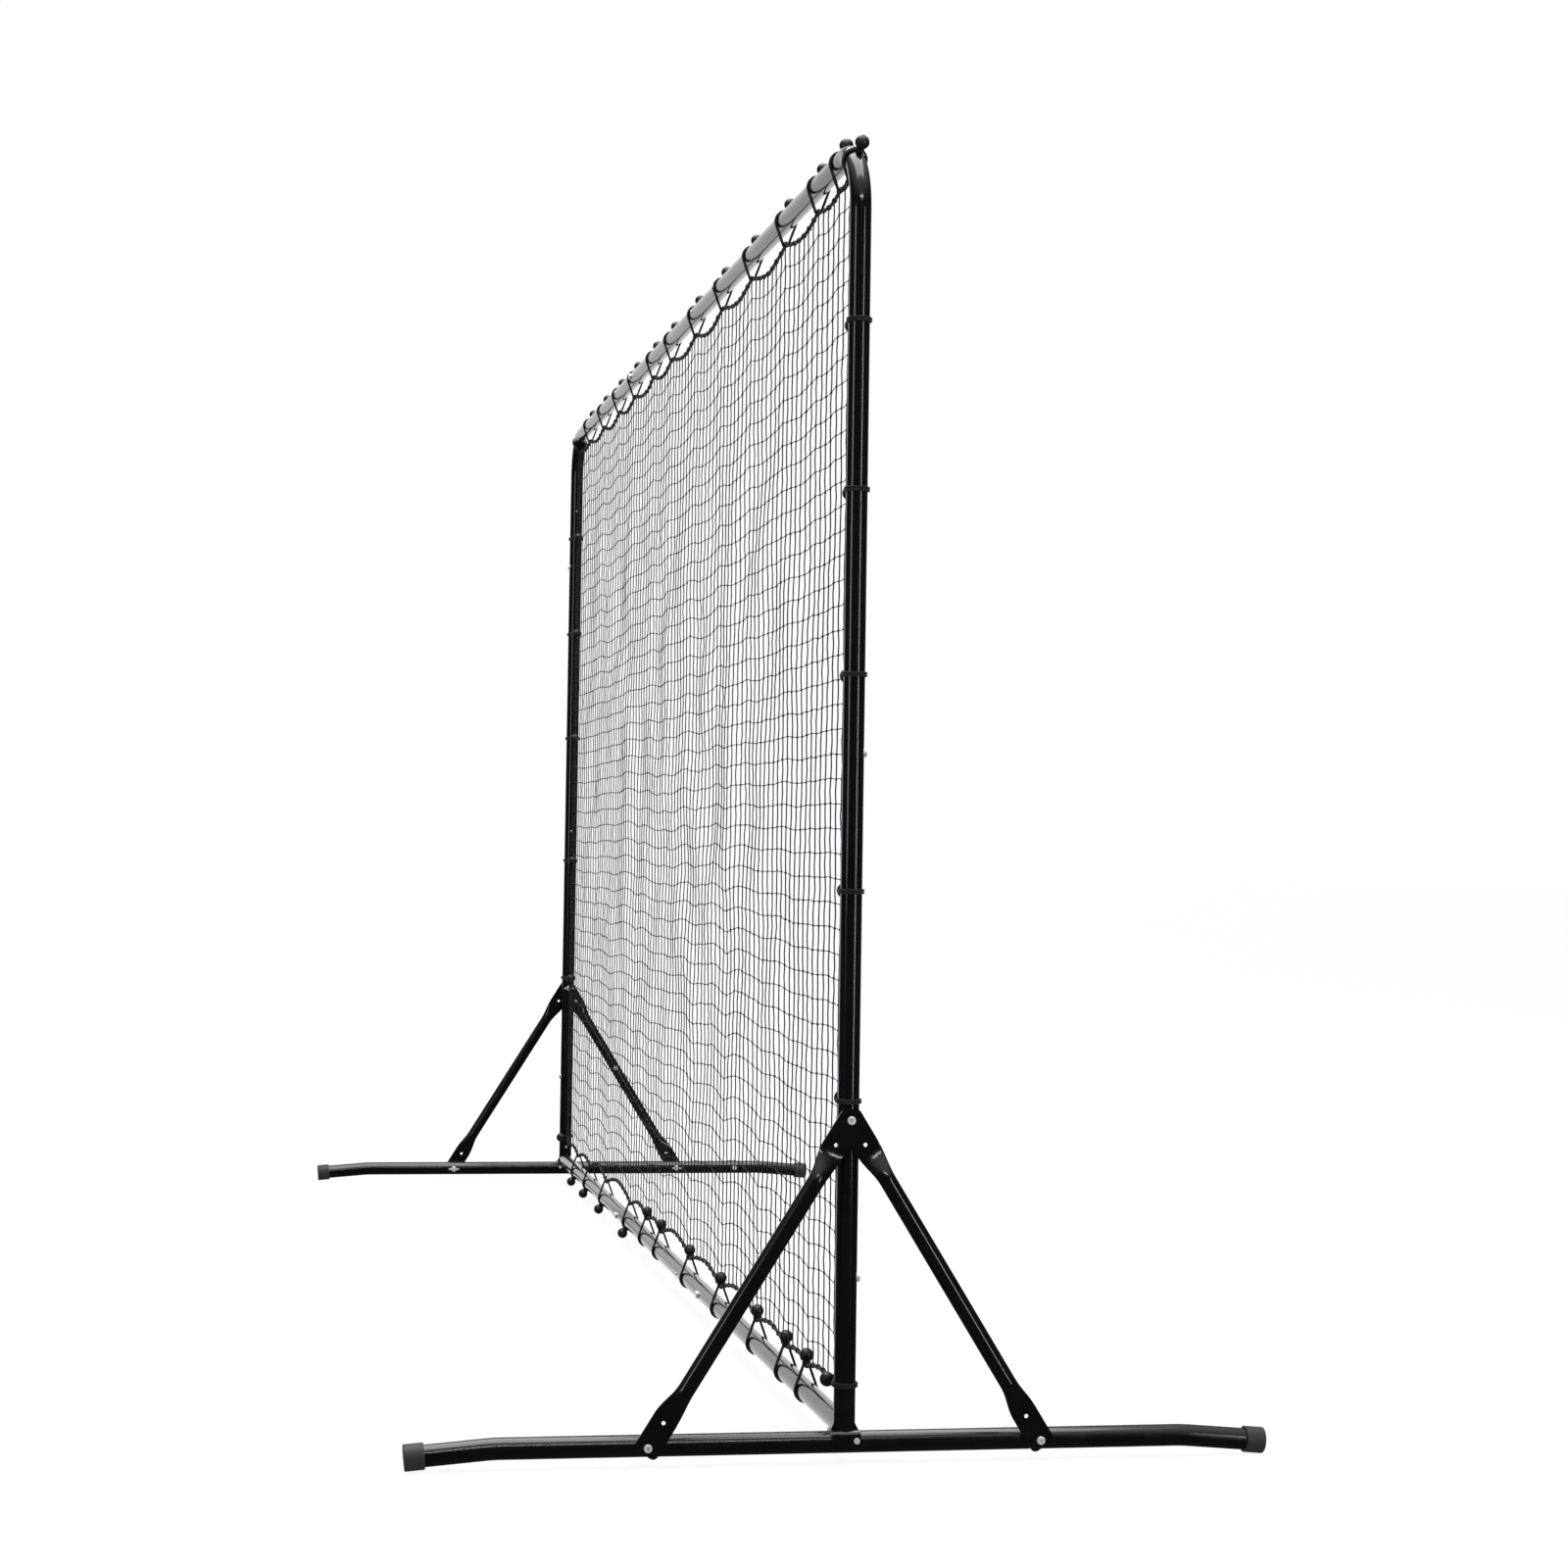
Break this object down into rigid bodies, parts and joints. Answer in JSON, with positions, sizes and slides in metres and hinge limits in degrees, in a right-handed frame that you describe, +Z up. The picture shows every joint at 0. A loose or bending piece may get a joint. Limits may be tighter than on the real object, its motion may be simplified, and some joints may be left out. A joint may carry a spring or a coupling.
{
  "type": "pitch back rebounder",
  "caption": "Free-standing ball rebounder: wide rectangular round-tube frame on two braced foot tubes, with a square-mesh net laced into it by ball bungees.",
  "frame": {"origin": "on the floor, midway between the two feet and midway between front and rear", "axes": "+X along the net towards the right foot, -Y towards the side the ball comes from, +Z up"},
  "size_m": [3.7206, 1.4072, 2.1699],
  "materials": {
    "black_tube": "gloss powder coat",
    "sleeve_steel": "plain",
    "zinc": "bright zinc plate",
    "cap": "matt",
    "ball": "gloss",
    "bungee_cord": "braided elastic",
    "border_rope": "braided",
    "net_twine": "twisted twine"
  },
  "bodies": {
    "frame": {"border_rope": "border_rope", "bottom_corner_left": "black_tube", "bottom_corner_right": "black_tube", "bottom_rail_left": "black_tube", "bottom_rail_middle": "black_tube", "bottom_rail_right": "black_tube", "bottom_rail_sleeves": "sleeve_steel", "bungee_balls_bottom": "ball", "bungee_balls_left": "ball", "bungee_balls_right": "ball", "bungee_balls_top": "ball", "bungee_cords_bottom": "bungee_cord", "bungee_cords_left": "bungee_cord", "bungee_cords_right": "bungee_cord", "bungee_cords_top": "bungee_cord", "foot_bolts": "zinc", "foot_cap_front_left": "cap", "foot_cap_front_right": "cap", "foot_cap_rear_left": "cap", "foot_cap_rear_right": "cap", "foot_left": "black_tube", "foot_right": "black_tube", "net": "net_twine", "saddle_bolts": "zinc", "saddle_nuts": "zinc", "section_bolts": "zinc", "spare_bolt_foot": "zinc", "spring_buttons": "zinc", "top_bolt_shanks": "zinc", "top_corner_left": "black_tube", "top_corner_right": "black_tube", "top_rail_left": "black_tube", "top_rail_middle": "black_tube", "top_rail_right": "black_tube", "top_rail_sleeves": "sleeve_steel", "upright_lower_left": "black_tube", "upright_lower_right": "black_tube", "upright_sleeve_mid_left": "sleeve_steel", "upright_sleeve_mid_right": "sleeve_steel", "upright_sleeve_top_left": "sleeve_steel", "upright_sleeve_top_right": "sleeve_steel", "upright_upper_left": "black_tube", "upright_upper_right": "black_tube"},
    "brace_front_right_body": {"brace_front_right": "black_tube", "top_bolt_head_right": "zinc"},
    "brace_rear_right_body": {"brace_rear_right": "black_tube"},
    "wing_nut_front_right_body": {"wing_nut_front_right": "zinc"},
    "wing_nut_rear_right_body": {"wing_nut_rear_right": "zinc"},
    "wing_nut_top_right_body": {"wing_nut_top_right": "zinc"},
    "brace_front_left_body": {"brace_front_left": "black_tube", "top_bolt_head_left": "zinc"},
    "brace_rear_left_body": {"brace_rear_left": "black_tube", "spare_bolt_brace": "zinc"},
    "wing_nut_front_left_body": {"wing_nut_front_left": "zinc"},
    "wing_nut_rear_left_body": {"wing_nut_rear_left": "zinc"},
    "wing_nut_top_left_body": {"wing_nut_top_left": "zinc"}
  },
  "joints": [
    {"name": "brace_front_right_swing", "type": "hinge", "parent": "frame", "child": "brace_front_right_body", "pos_m": [1.8312, -0.32, 0.0317], "axis": [1, 0, 0], "range_deg": [0, 115]},
    {"name": "brace_rear_right_swing", "type": "hinge", "parent": "frame", "child": "brace_rear_right_body", "pos_m": [1.8312, 0.32, 0.0317], "axis": [-1, 0, 0], "range_deg": [0, 115]},
    {"name": "wing_nut_front_right_turn", "type": "hinge", "parent": "frame", "child": "wing_nut_front_right_body", "pos_m": [1.7902, -0.32, 0.0317], "axis": [1, 0, 0], "continuous": true},
    {"name": "wing_nut_rear_right_turn", "type": "hinge", "parent": "frame", "child": "wing_nut_rear_right_body", "pos_m": [1.7902, 0.32, 0.0317], "axis": [1, 0, 0], "continuous": true},
    {"name": "wing_nut_top_right_turn", "type": "hinge", "parent": "frame", "child": "wing_nut_top_right_body", "pos_m": [1.7902, 0, 0.545], "axis": [1, 0, 0], "continuous": true},
    {"name": "brace_front_left_swing", "type": "hinge", "parent": "frame", "child": "brace_front_left_body", "pos_m": [-1.8312, -0.32, 0.0317], "axis": [1, 0, 0], "range_deg": [0, 115]},
    {"name": "brace_rear_left_swing", "type": "hinge", "parent": "frame", "child": "brace_rear_left_body", "pos_m": [-1.8312, 0.32, 0.0317], "axis": [-1, 0, 0], "range_deg": [0, 115]},
    {"name": "wing_nut_front_left_turn", "type": "hinge", "parent": "frame", "child": "wing_nut_front_left_body", "pos_m": [-1.7902, -0.32, 0.0317], "axis": [-1, 0, 0], "continuous": true},
    {"name": "wing_nut_rear_left_turn", "type": "hinge", "parent": "frame", "child": "wing_nut_rear_left_body", "pos_m": [-1.7902, 0.32, 0.0317], "axis": [-1, 0, 0], "continuous": true},
    {"name": "wing_nut_top_left_turn", "type": "hinge", "parent": "frame", "child": "wing_nut_top_left_body", "pos_m": [-1.7902, 0, 0.545], "axis": [-1, 0, 0], "continuous": true}
  ]
}
